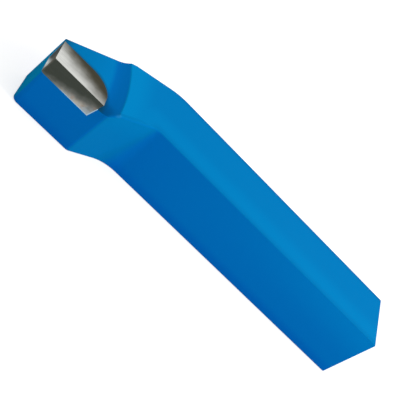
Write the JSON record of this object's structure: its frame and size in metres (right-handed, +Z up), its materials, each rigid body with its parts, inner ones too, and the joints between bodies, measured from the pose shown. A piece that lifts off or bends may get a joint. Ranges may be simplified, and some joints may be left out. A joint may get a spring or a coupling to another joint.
{
  "type": "brazed carbide turning tool",
  "caption": "Square-shank side-turning tool for a lathe, with its head set over to the left and a carbide tip brazed into a milled seat.",
  "frame": {"origin": "middle of the straight length of the shank's base, on the face the tool rests on", "axes": "+Z up out of the base to the rake side, +Y along the shank from its rear end to the cutting head, -X to the cutting side"},
  "size_m": [0.0295, 0.125, 0.02],
  "materials": {
    "blue_paint": "satin enamel on forged and milled steel",
    "ground_carbide": "ground cemented carbide",
    "braze_metal": "bare braze alloy, dulled"
  },
  "bodies": {
    "root": {"steel_shank": "blue_paint", "carbide_tip": "ground_carbide", "braze_layer": "braze_metal"}
  },
  "joints": []
}
